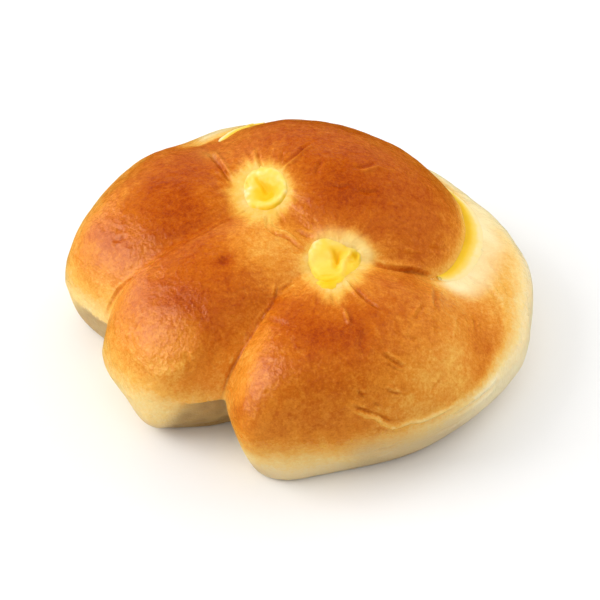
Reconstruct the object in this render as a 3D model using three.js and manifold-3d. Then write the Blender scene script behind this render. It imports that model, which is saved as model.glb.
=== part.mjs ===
// A custard cream bun: a folded, glove-shaped sweet roll, cut twice along one side.
//
// Five puffed lobes of one dough make the bun.  Three fingers (left, middle and right) point
// to the front left, a high back lobe covers their roots, and a thin lower rim comes out from
// under the back lobe on the right and at the back.  The custard lies as one slab between the
// two layers.  It comes up as a plug at the inner end of each cut, and it shows as a bead
// along the mouth between the back lobe and the rim.
//
// Millimetres, +Z up.  The bun rests on its flat base at z = 0, with the origin at the middle
// of its outline.
import * as THREE from 'three';
import { mergeVertices } from 'three/addons/utils/BufferGeometryUtils.js';
import Module from 'manifold-3d';

// ---------------------------------------------------------------- driving dimensions
const ORIGIN = [-0.35, 2.26];          // plan middle of the outline, in the lobes' own coordinates
const GAP = 0.3;                // clearance between dough and custard

// Each lobe is a puffed pillow that stands on the base.
//   at     plan position of its middle       yaw    direction of its long axis, degrees
//   a, b   half length and half width        zw     height of its widest level
//   rise   height of the dome above zw       plan   squareness of the outline (2 = ellipse)
//   dome   squareness of the dome            taper  narrowing towards the long axis' end
//   bend   sideways curve of the long axis   foot   outline at the base over the widest one
//   belly  how round the side is below zw
//   puffs  places where the lobe stands out a little: position, reach, push
const LOBE = {
  left: { at: [-30.48, 10.89], yaw: -140.43, a: 28.77, b: 27.76, zw: 13.47, rise: 25.32, plan: 2.470, dome: 2.280,
    taper: -0.245, bend: -0.122, foot: 0.828, belly: 1.232,
    puffs: [[-58.5, 4.5, 1, 8, 1.7], [-61.5, 14, 9, 12, 1.0], [-44, 32, 22, 12, 1.2]] },
  middle: { at: [-16.16, -10.67], yaw: -145.89, a: 34.83, b: 22.97, zw: 13.68, rise: 26.63, plan: 2.414, dome: 2.291,
    taper: -0.002, bend: 0.025, foot: 0.769, belly: 1.672,
    puffs: [[-38, -34.8, 1, 7.5, 4.2], [-50, -20, 8, 9, 1.4]] },
  right: { at: [7.85, -28.51], yaw: -136.27, a: 31.23, b: 25.26, zw: 14.29, rise: 24.03, plan: 1.939, dome: 2.481,
    taper: -0.441, bend: 0.056, foot: 0.828, belly: 1.345,
    puffs: [[-4, -51.5, 1, 8.5, 2.2], [32, -42, 1.5, 14, 1.5]] },
  rightRim: { at: [22.00, -0.07], yaw: 74.64, a: 45.42, b: 37.33, zw: 11.05, rise: 13.02, plan: 2.523, dome: 2.676,
    taper: -0.088, bend: 0.249, foot: 0.856, belly: 1.786,
    puffs: [[56.5, -16, 3, 12, 1.6], [60, 6, 12, 12, 0.7]] },
  back: { at: [5.23, 19.24], yaw: 138.54, a: 40.93, b: 32.43, zw: 16.10, rise: 27.77, plan: 2.339, dome: 1.800,
    taper: -0.164, bend: 0.125, foot: 0.887, belly: 1.344,
    puffs: [[24, 46, 25, 14, 1.4], [-8, 51, 26, 16, 0.6]] },
  backRim: { at: [-15.18, 33.64], yaw: 18.95, a: 31.17, b: 22.40, zw: 12.34, rise: 21.01, plan: 2.039, dome: 2.154,
    taper: 0.163, bend: -0.074, foot: 0.858, belly: 1.494 },
  rearRim: { at: [9.00, 31.00], yaw: 8.00, a: 29.00, b: 21.00, zw: 12.00, rise: 9.00, plan: 2.2, dome: 2.2,
    taper: 0, bend: 0, foot: 0.86, belly: 1.5 },
  heart: { at: [2.00, 3.00], yaw: 0, a: 36.00, b: 34.00, zw: 12.00, rise: 15.00, plan: 2.2, dome: 2.2,
    taper: 0, bend: 0, foot: 0.97, belly: 1.5 },
};
const LOWER_MIDDLE = [10, 2, 11];   // a point from which the whole lower layer's skin is seen
const FINGER_BLEND = 12;        // the right finger runs smoothly into the right rim
const RIM_BLEND = 8;            // and the rims run into each other
const HEART_BLEND = 3;          // the heart fills the base between them

// Filling
const SLAB = { x: 3, y: 12, z: 20, half: 5, inner: 27 };
const PLUG_BACK = { x: -8.9, y: 12.9, z: 40.0, rx: 3.9, ry: 3.9, base: 20 };
const PLUG_FRONT = { x: 7.6, y: -11.2, z: 36.2, rx: 4.8, ry: 5.8, base: 20 };
const MOUTH = { from: -34, to: 146, sink: 0.9 };   // azimuths of the mouth's two corners
const BEAD = [                  // azimuth, radius of the bead of custard along the mouth
  [-34, 0.8], [-27, 2.7], [-14, 3.4], [2, 3.6], [12, 3.2], [24, 1.9], [100, 1.7],
  [116, 2.1], [130, 2.4], [140, 1.8], [146, 0.8]];

// Facets
const LOBE_FACETS = [40, 12, 4];      // around, rows up the dome, rows down the side
const LOWER_FACETS = [72, 14, 5];

// ---------------------------------------------------------------- pillow lobes
const rad = Math.PI / 180;
const clamp = (v, lo, hi) => Math.min(hi, Math.max(lo, v));

// Signed measure of a lobe: below 0 inside, above 0 outside.
function lobe(p, x, y, z) {
  const c = Math.cos(p.yaw * rad), s = Math.sin(p.yaw * rad);
  const dx = x - p.at[0], dy = y - p.at[1];
  const u = dx * c + dy * s;
  const v = -dx * s + dy * c - p.bend * (u / p.a) ** 2 * p.b;
  const b = p.b * Math.max(1 + p.taper * u / p.a, 0.3);
  const w = z - p.zw;
  const U = Math.abs(u) / p.a, V = Math.abs(v) / b;
  const rho = (U ** p.plan + V ** p.plan) ** (1 / p.plan);
  const W = Math.max(w, 0) / p.rise;
  let R;
  if (w > 0) R = (rho ** p.dome + W ** p.dome) ** (1 / p.dome);
  else R = rho / (1 - (1 - p.foot) * clamp(-w / p.zw, 0, 1.3) ** p.belly);
  R = Math.max(R, 1e-3);
  const k = Math.sqrt((U / p.a) ** 2 + (V / b) ** 2 + (W / p.rise) ** 2) + 1e-4;
  let f = R * (R - 1) / k;
  for (const [px, py, pz, far, push] of p.puffs ?? []) {
    f -= push * Math.exp(-((x - px) ** 2 + (y - py) ** 2 + (z - pz) ** 2) / far ** 2);
  }
  return f;
}

function softMin(a, b, k) {
  const h = clamp(0.5 + 0.5 * (b - a) / k, 0, 1);
  return b * (1 - h) + a * h - k * h * (1 - h);
}

const left = (x, y, z) => lobe(LOBE.left, x, y, z);
const middle = (x, y, z) => lobe(LOBE.middle, x, y, z);
const back = (x, y, z) => lobe(LOBE.back, x, y, z);
// the lower layer: the right finger, the rim round the right side and the back, and the heart
function lower(x, y, z) {
  let f = softMin(lobe(LOBE.right, x, y, z), lobe(LOBE.rightRim, x, y, z), FINGER_BLEND);
  f = softMin(f, lobe(LOBE.rearRim, x, y, z), RIM_BLEND);
  f = softMin(f, lobe(LOBE.backRim, x, y, z), RIM_BLEND);
  return softMin(f, lobe(LOBE.heart, x, y, z), HEART_BLEND);
}

// Distance from (ox, oy, oz) along (dx, dy, dz) to where a lobe's surface is left.
function reach(field, ox, oy, oz, dx, dy, dz) {
  let lo = 0, hi = 1;
  while (hi < 120 && field(ox + dx * hi, oy + dy * hi, oz + dz * hi) < 0) { lo = hi; hi += 1; }
  for (let i = 0; i < 40; i++) {
    const m = (lo + hi) / 2;
    if (field(ox + dx * m, oy + dy * m, oz + dz * m) < 0) lo = m; else hi = m;
  }
  return (lo + hi) / 2;
}

// A sphere whose points are moved out to the lobe's surface: rows over the dome follow rays
// from the lobe's middle, rows down the side are level, and the last row closes the flat base.
function lobeSkin(field, [cx, cy, zw], around, domeRows, sideRows) {
  const rows = domeRows + sideRows + 1;
  const g = new THREE.SphereGeometry(1, around, rows);
  const p = g.attributes.position;
  for (let j = 0; j <= rows; j++) {
    for (let i = 0; i <= around; i++) {
      const n = j * (around + 1) + i;
      const t = 2 * Math.PI * (i % around) / around;
      const c = Math.cos(t), s = Math.sin(t);
      if (j === rows) { p.setXYZ(n, cx, cy, 0); continue; }
      if (j <= domeRows) {
        const e = Math.PI / 2 * (1 - j / domeRows);
        const d = [Math.cos(e) * c, Math.cos(e) * s, Math.sin(e)];
        if (j === 0) { d[0] = 0; d[1] = 0; d[2] = 1; }
        const r = reach(field, cx, cy, zw, ...d);
        p.setXYZ(n, cx + r * d[0], cy + r * d[1], zw + r * d[2]);
      } else {
        const z = zw * (1 - (j - domeRows) / sideRows);
        const r = reach(field, cx, cy, z, c, s, 0);
        p.setXYZ(n, cx + r * c, cy + r * s, z);
      }
    }
  }
  return closed(g);
}

// Leaves only the shared points of a mesh, with no doubled points and no empty triangles.
function closed(g) {
  g.deleteAttribute('normal');
  g.deleteAttribute('uv');
  const m = mergeVertices(g, 1e-4);
  const a = m.index.array, p = m.attributes.position, keep = [];
  for (let i = 0; i < a.length; i += 3) {
    if (a[i] !== a[i + 1] && a[i + 1] !== a[i + 2] && a[i] !== a[i + 2]) keep.push(a[i], a[i + 1], a[i + 2]);
  }
  // a mesh that came out inside out is turned
  let volume = 0;
  const A = new THREE.Vector3(), B = new THREE.Vector3(), C = new THREE.Vector3();
  for (let i = 0; i < keep.length; i += 3) {
    A.fromBufferAttribute(p, keep[i]); B.fromBufferAttribute(p, keep[i + 1]); C.fromBufferAttribute(p, keep[i + 2]);
    volume += A.dot(B.cross(C));
  }
  if (volume < 0) for (let i = 0; i < keep.length; i += 3) [keep[i], keep[i + 1]] = [keep[i + 1], keep[i]];
  m.setIndex(keep);
  return m;
}

// ---------------------------------------------------------------- the mouth
// Where the back lobe's side goes down into the rim, at an azimuth around the slab's middle.
function mouth(azimuth) {
  const c = Math.cos(azimuth * rad), s = Math.sin(azimuth * rad);
  const at = (z) => {
    const r = reach(back, SLAB.x, SLAB.y, z, c, s, 0);
    return [SLAB.x + r * c, SLAB.y + r * s, z];
  };
  const out = (z) => {
    const [x, y] = at(z);
    return Math.min(lower(x, y, z), left(x, y, z));
  };
  let hi = 41, lo = hi;
  while (lo > 5 && out(lo) > 0) { hi = lo; lo -= 0.5; }
  for (let i = 0; i < 30; i++) { const m = (lo + hi) / 2; if (out(m) > 0) hi = m; else lo = m; }
  return at((lo + hi) / 2);
}

function tableValue(table, x) {
  if (x <= table[0][0]) return table[0][1];
  for (let i = 1; i < table.length; i++) {
    if (x <= table[i][0]) {
      const t = (x - table[i - 1][0]) / (table[i][0] - table[i - 1][0]);
      const e = t * t * (3 - 2 * t);
      return table[i - 1][1] * (1 - e) + table[i][1] * e;
    }
  }
  return table[table.length - 1][1];
}

// The bead: a sphere's rows become rings along the mouth, and its poles close the ends.
function beadSkin(extra) {
  const steps = 36, sides = 12, rows = steps + 2;
  const line = [];
  for (let k = 0; k <= steps; k++) {
    const az = MOUTH.from + (MOUTH.to - MOUTH.from) * k / steps;
    const q = mouth(az);
    line.push(new THREE.Vector3(q[0], q[1], q[2] - MOUTH.sink));
  }
  // the mouth's line is smoothed a little
  for (let pass = 0; pass < 3; pass++) {
    const old = line.map((v) => v.clone());
    for (let k = 1; k < steps; k++) line[k].addVectors(old[k - 1], old[k + 1]).multiplyScalar(0.25).addScaledVector(old[k], 0.5);
  }
  const g = new THREE.SphereGeometry(1, sides, rows);
  const p = g.attributes.position;
  const T = new THREE.Vector3(), N = new THREE.Vector3(), Q = new THREE.Vector3(), up = new THREE.Vector3(0, 0, 1);
  for (let j = 0; j <= rows; j++) {
    const k = clamp(j - 1, 0, steps);
    T.subVectors(line[Math.min(k + 1, steps)], line[Math.max(k - 1, 0)]).normalize();
    N.crossVectors(up, T).normalize();
    Q.crossVectors(T, N);
    const r0 = tableValue(BEAD, MOUTH.from + (MOUTH.to - MOUTH.from) * k / steps) + extra;
    for (let i = 0; i <= sides; i++) {
      const n = j * (sides + 1) + i;
      const a = 2 * Math.PI * (i % sides) / sides;
      if (j === 0 || j === rows) {
        const f = (j === 0 ? -1 : 1) * r0 * 0.6;
        p.setXYZ(n, line[k].x + T.x * f, line[k].y + T.y * f, line[k].z + T.z * f);
      } else {
        const c = r0 * Math.cos(a), s = r0 * Math.sin(a);
        p.setXYZ(n, line[k].x + N.x * c + Q.x * s, line[k].y + N.y * c + Q.y * s, line[k].z + N.z * c + Q.z * s);
      }
    }
  }
  return closed(g);
}

// The slab: a lens whose edge follows the mouth, and stays well inside the fingers elsewhere.
function slabSkin(extra) {
  const around = 40, rows = 8;
  const rim = [];
  for (let i = 0; i < around; i++) {
    let az = 360 * i / around;
    if (az > 250) az -= 360;
    const c = Math.cos(az * rad), s = Math.sin(az * rad);
    const inner = [SLAB.x + SLAB.inner * c, SLAB.y + SLAB.inner * s, SLAB.z];
    // how far into the mouth's span this azimuth lies, 0 outside it and 1 well within
    const t = clamp(Math.min(az - MOUTH.from, MOUTH.to - az) / 14, 0, 1);
    const e = t * t * (3 - 2 * t);
    if (e === 0) { rim.push(inner); continue; }
    const q = mouth(az);
    rim.push([0, 1, 2].map((k) => inner[k] * (1 - e) + q[k] * e));
  }
  const g = new THREE.SphereGeometry(1, around, rows);
  const p = g.attributes.position;
  for (let j = 0; j <= rows; j++) {
    const e = Math.PI * (0.5 - j / rows);
    for (let i = 0; i <= around; i++) {
      const n = j * (around + 1) + i;
      const q = rim[i % around];
      const f = Math.max(0, Math.cos(e));
      const r = j === 0 || j === rows ? 0 : f ** 0.8;
      const d = Math.hypot(q[0] - SLAB.x, q[1] - SLAB.y);
      const h = Math.sin(e) * (SLAB.half + extra) * (j === 0 || j === rows ? 1 : 1);
      p.setXYZ(n,
        SLAB.x + (q[0] - SLAB.x) * r * (1 + extra / d),
        SLAB.y + (q[1] - SLAB.y) * r * (1 + extra / d),
        SLAB.z + (q[2] - SLAB.z) * r * r + h);
    }
  }
  return closed(g);
}

// A plug: a round column with a domed top, rising out of the slab at the end of a cut.
function plugSkin(plug, extra) {
  const around = 20, rows = 10;
  const g = new THREE.SphereGeometry(1, around, rows);
  const p = g.attributes.position;
  const mid = (plug.z + plug.base) / 2, half = (plug.z - plug.base) / 2 + extra;
  for (let j = 0; j <= rows; j++) {
    const e = Math.PI * (0.5 - j / rows);
    const f = j === 0 || j === rows ? 0 : Math.max(0, Math.cos(e)) ** 0.45;
    for (let i = 0; i <= around; i++) {
      const a = 2 * Math.PI * (i % around) / around;
      p.setXYZ(j * (around + 1) + i, plug.x + (plug.rx + extra) * f * Math.cos(a),
        plug.y + (plug.ry + extra) * f * Math.sin(a), mid + half * Math.sin(e));
    }
  }
  return closed(g);
}

// ---------------------------------------------------------------- joining and cutting
const wasm = await Module();
wasm.setup();

function solid(g) {
  const m = new wasm.Mesh({
    numProp: 3,
    vertProperties: new Float32Array(g.attributes.position.array),
    triVerts: new Uint32Array(g.index.array),
  });
  return new wasm.Manifold(m);
}

function geometry(s) {
  const m = s.getMesh();
  const g = new THREE.BufferGeometry();
  const v = new Float32Array(m.numVert * 3);
  for (let i = 0; i < m.numVert; i++) {
    v[3 * i] = m.vertProperties[i * m.numProp] - ORIGIN[0];
    v[3 * i + 1] = m.vertProperties[i * m.numProp + 1] - ORIGIN[1];
    v[3 * i + 2] = m.vertProperties[i * m.numProp + 2];
  }
  g.setAttribute('position', new THREE.BufferAttribute(v, 3));
  g.setIndex(Array.from(m.triVerts));
  g.computeVertexNormals();
  return g;
}

const middleOf = (p) => [p.at[0], p.at[1], p.zw];
const skins = [
  lobeSkin(lower, LOWER_MIDDLE, ...LOWER_FACETS),
  lobeSkin(left, middleOf(LOBE.left), ...LOBE_FACETS),
  lobeSkin(middle, middleOf(LOBE.middle), ...LOBE_FACETS),
  lobeSkin(back, middleOf(LOBE.back), ...LOBE_FACETS),
];
const filling = (extra) => [beadSkin(extra), slabSkin(extra), plugSkin(PLUG_BACK, extra), plugSkin(PLUG_FRONT, extra)]
  .map(solid).reduce((a, b) => a.add(b));
const custard = filling(0);
const dough = skins.map(solid).reduce((a, b) => a.add(b)).subtract(filling(GAP));

const bun = new THREE.Group();
const doughMesh = new THREE.Mesh(geometry(dough),
  new THREE.MeshStandardMaterial({ color: 0xc9702c, roughness: 0.45, metalness: 0 }));
doughMesh.name = 'bun_dough';
const custardMesh = new THREE.Mesh(geometry(custard),
  new THREE.MeshStandardMaterial({ color: 0xfad25e, roughness: 0.4, metalness: 0 }));
custardMesh.name = 'custard_filling';
bun.add(doughMesh, custardMesh);

export default bun;
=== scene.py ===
"""A custard cream bun on a pale floor, under soft studio light.

The dough is one implicit surface: five puffed lobes of one dough, joined softly, with a groove
along the mouth between the upper and the lower layer, and a pocket for the filling.  It is
meshed, refined where the detail is fine, and then carved with the pleats, creases and wrinkles
of a real bun.  The custard is a second piece, which fills the pocket and stands out of it.
"""
import math
import time
import bpy
import numpy as np
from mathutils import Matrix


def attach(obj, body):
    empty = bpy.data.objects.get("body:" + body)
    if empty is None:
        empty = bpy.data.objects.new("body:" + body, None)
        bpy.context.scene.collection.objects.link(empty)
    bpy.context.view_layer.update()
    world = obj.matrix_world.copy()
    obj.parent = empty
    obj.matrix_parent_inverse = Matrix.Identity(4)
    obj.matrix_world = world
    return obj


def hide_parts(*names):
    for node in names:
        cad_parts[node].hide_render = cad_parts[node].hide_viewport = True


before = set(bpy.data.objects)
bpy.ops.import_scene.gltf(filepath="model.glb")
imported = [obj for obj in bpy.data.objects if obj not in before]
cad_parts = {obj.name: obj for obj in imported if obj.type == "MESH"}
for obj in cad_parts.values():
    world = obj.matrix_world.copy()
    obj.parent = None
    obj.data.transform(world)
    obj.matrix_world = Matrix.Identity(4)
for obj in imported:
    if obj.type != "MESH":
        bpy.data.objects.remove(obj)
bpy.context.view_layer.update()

T0 = time.time()


def note(*words):
    print("[bun %.1fs]" % (time.time() - T0), *words)


# ------------------------------------------------------------------ shape constants (mm)
# puffs are places where a lobe stands out a little: position, reach, push
ORIGIN = np.array([-0.35, 2.26, 0.0])    # the frame's origin in the lobes' own coordinates
LOBES = dict(
    left=dict(at=(-30.48, 10.89), yaw=-140.43, a=28.77, b=27.76, zw=13.47, rise=25.32,
              plan=2.470, dome=2.280, taper=-0.245, bend=-0.122, foot=0.828, belly=1.232,
              puffs=[((-58.5, 4.5, 1), 8, 1.7), ((-61.5, 14, 9), 12, 1.0), ((-44, 32, 22), 12, 1.2)]),
    middle=dict(at=(-16.16, -10.67), yaw=-145.89, a=34.83, b=22.97, zw=13.68, rise=26.63,
                plan=2.414, dome=2.291, taper=-0.002, bend=0.025, foot=0.769, belly=1.672,
                puffs=[((-38, -34.8, 1), 7.5, 4.2), ((-50, -20, 8), 9, 1.4)]),
    right=dict(at=(7.85, -28.51), yaw=-136.27, a=31.23, b=25.26, zw=14.29, rise=24.03,
               plan=1.939, dome=2.481, taper=-0.441, bend=0.056, foot=0.828, belly=1.345,
               puffs=[((-4, -51.5, 1), 8.5, 2.2), ((32, -42, 1.5), 14, 1.5)]),
    rightRim=dict(at=(22.00, -0.07), yaw=74.64, a=45.42, b=37.33, zw=11.05, rise=13.02,
                  plan=2.523, dome=2.676, taper=-0.088, bend=0.249, foot=0.856, belly=1.786,
                  puffs=[((56.5, -16, 3), 12, 1.6), ((60, 6, 12), 12, 0.7)]),
    back=dict(at=(5.23, 19.24), yaw=138.54, a=40.93, b=32.43, zw=16.10, rise=27.77,
              plan=2.339, dome=1.800, taper=-0.164, bend=0.125, foot=0.887, belly=1.344,
              puffs=[((24, 46, 25), 14, 1.4), ((-8, 51, 26), 16, 0.6)]),
    backRim=dict(at=(-15.18, 33.64), yaw=18.95, a=31.17, b=22.40, zw=12.34, rise=21.01,
                 plan=2.039, dome=2.154, taper=0.163, bend=-0.074, foot=0.858, belly=1.494),
    rearRim=dict(at=(9.00, 31.00), yaw=8.00, a=29.00, b=21.00, zw=12.00, rise=9.00,
                 plan=2.2, dome=2.2, taper=0.0, bend=0.0, foot=0.86, belly=1.5),
    heart=dict(at=(2.00, 3.00), yaw=0.0, a=36.00, b=34.00, zw=12.00, rise=15.00,
               plan=2.2, dome=2.2, taper=0.0, bend=0.0, foot=0.97, belly=1.5),
)
SLAB = dict(x=3.0, y=12.0, z=20.0, half=5.0, inner=27.0)

# ------------------------------------------------------------------ camera of the photograph
ELEV, DIST, FOCAL = 45.157, 700.0, 2723.0          # degrees, mm, pixels in a 600 px frame
TARGET = np.array([0.0, 0.0885, 12.095])
_e = math.radians(ELEV)
FWD = np.array([0.0, math.cos(_e), -math.sin(_e)])
UP = np.array([0.0, math.sin(_e), math.cos(_e)])
RIGHT = np.array([1.0, 0.0, 0.0])
EYE = TARGET - FWD * DIST


def to_pixel(P):
    d = P - EYE
    w = d @ FWD
    return 300 + FOCAL * (d @ RIGHT) / w, 300 - FOCAL * (d @ UP) / w


# ------------------------------------------------------------------ fields
def lobe(p, x, y, z):
    """Below 0 inside a pillow lobe, above 0 outside, about in mm near the surface."""
    c, s = math.cos(math.radians(p['yaw'])), math.sin(math.radians(p['yaw']))
    dx, dy = x - p['at'][0], y - p['at'][1]
    u = dx * c + dy * s
    v = -dx * s + dy * c - p['bend'] * (u / p['a']) ** 2 * p['b']
    b = p['b'] * np.maximum(1 + p['taper'] * u / p['a'], 0.3)
    w = z - p['zw']
    U, V = np.abs(u) / p['a'], np.abs(v) / b
    rho = (U ** p['plan'] + V ** p['plan']) ** (1 / p['plan'])
    W = np.maximum(w, 0) / p['rise']
    R = (rho ** p['dome'] + W ** p['dome']) ** (1 / p['dome'])
    dn = np.clip(-w / p['zw'], 0, 1.3)
    R = np.where(w > 0, R, rho / (1 - (1 - p['foot']) * dn ** p['belly']))
    R = np.maximum(R, 1e-3)
    f = R * (R - 1) / (np.sqrt((U / p['a']) ** 2 + (V / b) ** 2 + (W / p['rise']) ** 2) + 1e-4)
    for (px, py, pz), reach, push in p.get('puffs', ()):
        f = f - push * np.exp(-((x - px) ** 2 + (y - py) ** 2 + (z - pz) ** 2) / reach ** 2)
    return f


def smin(a, b, k):
    h = np.clip(0.5 + 0.5 * (b - a) / k, 0, 1)
    return b * (1 - h) + a * h - k * h * (1 - h)


def smax(a, b, k):
    return -smin(-a, -b, k)


def smooth(t):
    t = np.clip(t, 0, 1)
    return t * t * (3 - 2 * t)


def table(x, rows):
    xs, ys = zip(*rows)
    return np.interp(x, xs, ys)


# softness of the join between the back lobe and what it meets, by azimuth round its middle
JOIN = [(-180, 3.0), (-165, 3.0), (-150, 4.5), (-120, 4.0), (-95, 1.6), (-80, 0.9), (-34, 0.9),
        (140, 0.9), (152, 4.0), (165, 6.5), (175, 6.0), (180, 3.0)]


def azimuth(x, y, cx, cy):
    return np.degrees(np.arctan2(y - cy, x - cx))


def parts(x, y, z):
    f = {k: lobe(p, x, y, z) for k, p in LOBES.items()}
    low = smin(f['right'], f['rightRim'], 12)
    low = smin(low, f['rearRim'], 8)
    low = smin(low, f['backRim'], 8)
    low = smin(low, f['heart'], 3)
    return f, low


def outer(x, y, z):
    """The bun's outside, without the mouth's groove."""
    f, low = parts(x, y, z)
    g = smin(low, f['left'], 4.0)
    g = smin(g, f['middle'], 1.3)
    k = table(azimuth(x, y, 5.2, 19.2), JOIN)
    g = smin(g, f['back'], k)
    return smax(g, -z, 1.2)


# ------------------------------------------------------------------ the mouth between the layers
def mouth_line():
    az = np.arange(-34, 147, 2.0)
    c, s = np.cos(np.radians(az)), np.sin(np.radians(az))

    def at(z):
        lo, hi = np.zeros_like(az), np.full_like(az, 90.0)
        for _ in range(34):
            m = (lo + hi) / 2
            inside = lobe(LOBES['back'], SLAB['x'] + m * c, SLAB['y'] + m * s, z) < 0
            lo, hi = np.where(inside, m, lo), np.where(inside, hi, m)
        return SLAB['x'] + lo * c, SLAB['y'] + lo * s

    def out(z):
        x, y = at(z)
        f, low = parts(x, y, z)
        return np.minimum(low, f['left'])
    hi = np.full_like(az, 41.0)
    lo = hi.copy()
    for _ in range(72):
        o = out(lo)
        go = o > 0
        hi = np.where(go, lo, hi)
        lo = np.where(go, lo - 0.5, lo)
    for _ in range(20):
        m = (lo + hi) / 2
        o = out(m) > 0
        hi, lo = np.where(o, m, hi), np.where(o, lo, m)
    z = (lo + hi) / 2
    x, y = at(z)
    P = np.stack([x, y, z], 1)
    for _ in range(6):
        P[1:-1] = 0.25 * (P[:-2] + P[2:]) + 0.5 * P[1:-1]
    return az, P


MOUTH_AZ, MOUTH = mouth_line()
# azimuth, radius of the bead of custard
BEAD = [(-34, -0.6), (-28.5, -0.5), (-26, 1.0), (-22, 1.8), (-16, 2.2), (-6, 2.2), (4, 2.0), (12, 1.5), (20, 0.9), (28, 0.3), (33, -0.6),
        (106, -0.6), (112, 0.4), (122, 0.8), (131, 0.8), (138, 0.5), (143, -0.5), (146, -0.6)]


def tube(P, line, radius, chunk=120000):
    """Distance to a line of varying radius, below 0 inside."""
    out = np.empty(len(P))
    a, b = line[:-1], line[1:]
    ab = b - a
    L2 = (ab ** 2).sum(1)
    for s in range(0, len(P), chunk):
        q = P[s:s + chunk]
        best = np.full(len(q), 1e9)
        for i in range(len(a)):
            t = np.clip(((q - a[i]) @ ab[i]) / L2[i], 0, 1)
            d = np.sqrt(((q - a[i] - t[:, None] * ab[i]) ** 2).sum(1)) - (radius[i] * (1 - t) + radius[i + 1] * t)
            best = np.minimum(best, d)
        out[s:s + chunk] = best
    return out


# ------------------------------------------------------------------ filling
PLUG_BACK = np.array([-8.9, 12.9])
PLUG_FRONT = np.array([7.6, -11.2])


def slab_field(P, o, extra=0.0):
    """The slab of custard: a lens whose edge follows the mouth, kept below the crust; o is the outer field."""
    x, y, z = P.T
    az = azimuth(x, y, SLAB['x'], SLAB['y'])
    az = np.where(az > -110 + 360 - 360, az, az + 360)
    rim = MOUTH - np.array([SLAB['x'], SLAB['y'], 0])
    rr = np.hypot(rim[:, 0], rim[:, 1])
    t = smooth(np.minimum(az - MOUTH_AZ[0], MOUTH_AZ[-1] - az) / 14)
    short = 0.5 * (table(az, BEAD) + 0.35)                   # it ends under the lip, inside the bead
    radius = SLAB['inner'] * (1 - t) + (np.interp(az, MOUTH_AZ, rr) - short) * t
    level = SLAB['z'] * (1 - t) + np.interp(az, MOUTH_AZ, MOUTH[:, 2]) * t
    r = np.hypot(x - SLAB['x'], y - SLAB['y']) / radius
    zc = SLAB['z'] + (level - SLAB['z']) * np.clip(r, 0, 1) ** 2
    h = SLAB['half'] * np.sqrt(np.clip(1 - np.clip(r, 0, 1) ** 3, 0, 1)) + extra
    side = (r - 1) * radius - extra
    return np.maximum(np.maximum(np.abs(z - zc) - h, side), o + 3.6 - extra)


def column(P, at, top, rx, ry, extra=0.0):
    """A round column of custard from the slab up to a height."""
    x, y, z = P.T
    d = (np.hypot((x - at[0]) / rx, (y - at[1]) / ry) - 1) * min(rx, ry) - extra
    return np.maximum(d, np.maximum(z - top - extra, 20 - z))


# ------------------------------------------------------------------ meshing
def contour(field, lo, hi, step):
    """Surface nets: a mesh of quads round a field's zero level, sampled on a grid."""
    lo, hi = np.array(lo, float), np.array(hi, float)
    n = np.ceil((hi - lo) / step).astype(int) + 1
    ax = [lo[i] + step * np.arange(n[i]) for i in range(3)]
    F = np.empty(n)
    for k in range(n[2]):
        X, Y = np.meshgrid(ax[0], ax[1], indexing='ij')
        F[:, :, k] = field(np.stack([X.ravel(), Y.ravel(), np.full(X.size, ax[2][k])], 1)).reshape(n[0], n[1])
    F[F == 0] = 1e-6
    neg = F < 0
    cells = n - 1
    total = np.zeros((*cells, 3))
    count = np.zeros(cells)
    crossing = []
    for a in range(3):
        s0 = [slice(None)] * 3
        s1 = [slice(None)] * 3
        s0[a], s1[a] = slice(0, -1), slice(1, None)
        f0, f1 = F[tuple(s0)], F[tuple(s1)]
        cross = (f0 < 0) != (f1 < 0)
        t = np.where(cross, f0 / np.where(cross, f0 - f1, 1), 0)
        idx = np.indices(f0.shape).astype(float)
        idx[a] += t
        pos = np.stack(idx, -1) * cross[..., None]
        b, c = [i for i in range(3) if i != a]
        for db in (0, 1):
            for dc in (0, 1):
                s = [slice(None)] * 3
                s[b] = slice(db, db + cells[b])
                s[c] = slice(dc, dc + cells[c])
                total += pos[tuple(s)]
                count += cross[tuple(s)]
        crossing.append((cross, neg[tuple(s0)]))
    used = count > 0
    vid = np.full(cells, -1)
    vid[used] = np.arange(used.sum())
    V = lo + step * (total[used] / count[used][:, None])
    quads = []
    for a in range(3):
        cross, inside = crossing[a]
        b, c = (a + 1) % 3, (a + 2) % 3
        i = np.argwhere(cross)
        ok = (i[:, b] > 0) & (i[:, c] > 0) & (i[:, b] < cells[b]) & (i[:, c] < cells[c])
        i = i[ok]

        def at(ob, oc):
            j = i.copy()
            j[:, b] += ob
            j[:, c] += oc
            return vid[j[:, 0], j[:, 1], j[:, 2]]
        q = np.stack([at(-1, -1), at(0, -1), at(0, 0), at(-1, 0)], 1)
        flip = ~inside[i[:, 0], i[:, 1], i[:, 2]]
        q[flip] = q[flip][:, ::-1]
        quads.append(q)
    Q = np.concatenate(quads)
    # shorter diagonal
    d1 = ((V[Q[:, 0]] - V[Q[:, 2]]) ** 2).sum(1)
    d2 = ((V[Q[:, 1]] - V[Q[:, 3]]) ** 2).sum(1)
    A = np.where((d1 <= d2)[:, None], Q[:, [0, 1, 2]], Q[:, [0, 1, 3]])
    B = np.where((d1 <= d2)[:, None], Q[:, [0, 2, 3]], Q[:, [1, 2, 3]])
    return V, np.concatenate([A, B])


def gradient(field, P, e=0.05):
    g = np.empty_like(P)
    for i in range(3):
        d = np.zeros(3)
        d[i] = e
        g[:, i] = (field(P + d) - field(P - d)) / (2 * e)
    return g


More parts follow.
